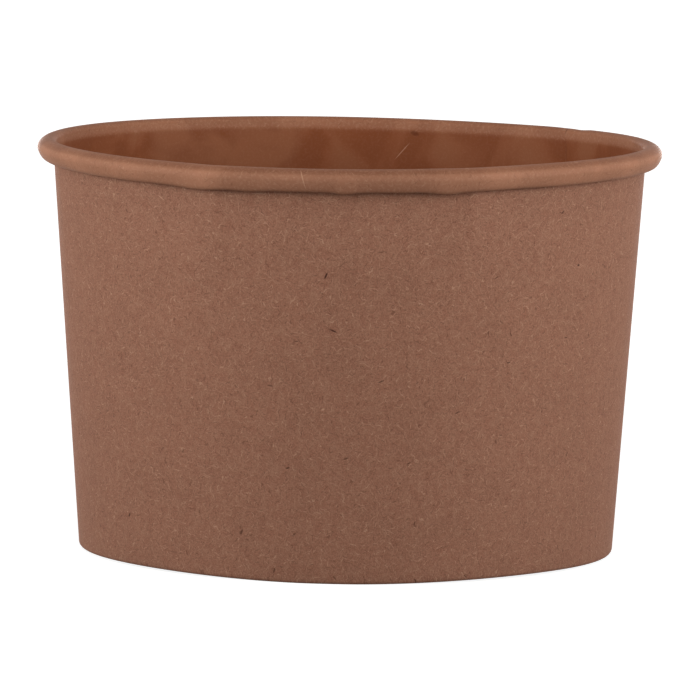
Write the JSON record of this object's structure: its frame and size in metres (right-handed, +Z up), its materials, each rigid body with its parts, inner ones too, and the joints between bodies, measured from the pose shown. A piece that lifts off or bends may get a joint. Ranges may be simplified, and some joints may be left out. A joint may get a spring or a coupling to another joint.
{
  "type": "paper tub",
  "caption": "Round tapered paper tub with a rolled rim, a lapped side seam and a recessed bottom, for a portion of ice cream or other food.",
  "frame": {"origin": "centre of the base ring, on the table", "axes": "+Z up along the tub's axis, -Y towards the side that the picture shows"},
  "size_m": [0.096, 0.096, 0.063],
  "materials": {
    "kraft_wall": "matte",
    "kraft_bottom": "satin"
  },
  "bodies": {
    "root": {"side_wall": "kraft_wall", "bottom_disc": "kraft_bottom"}
  },
  "joints": []
}
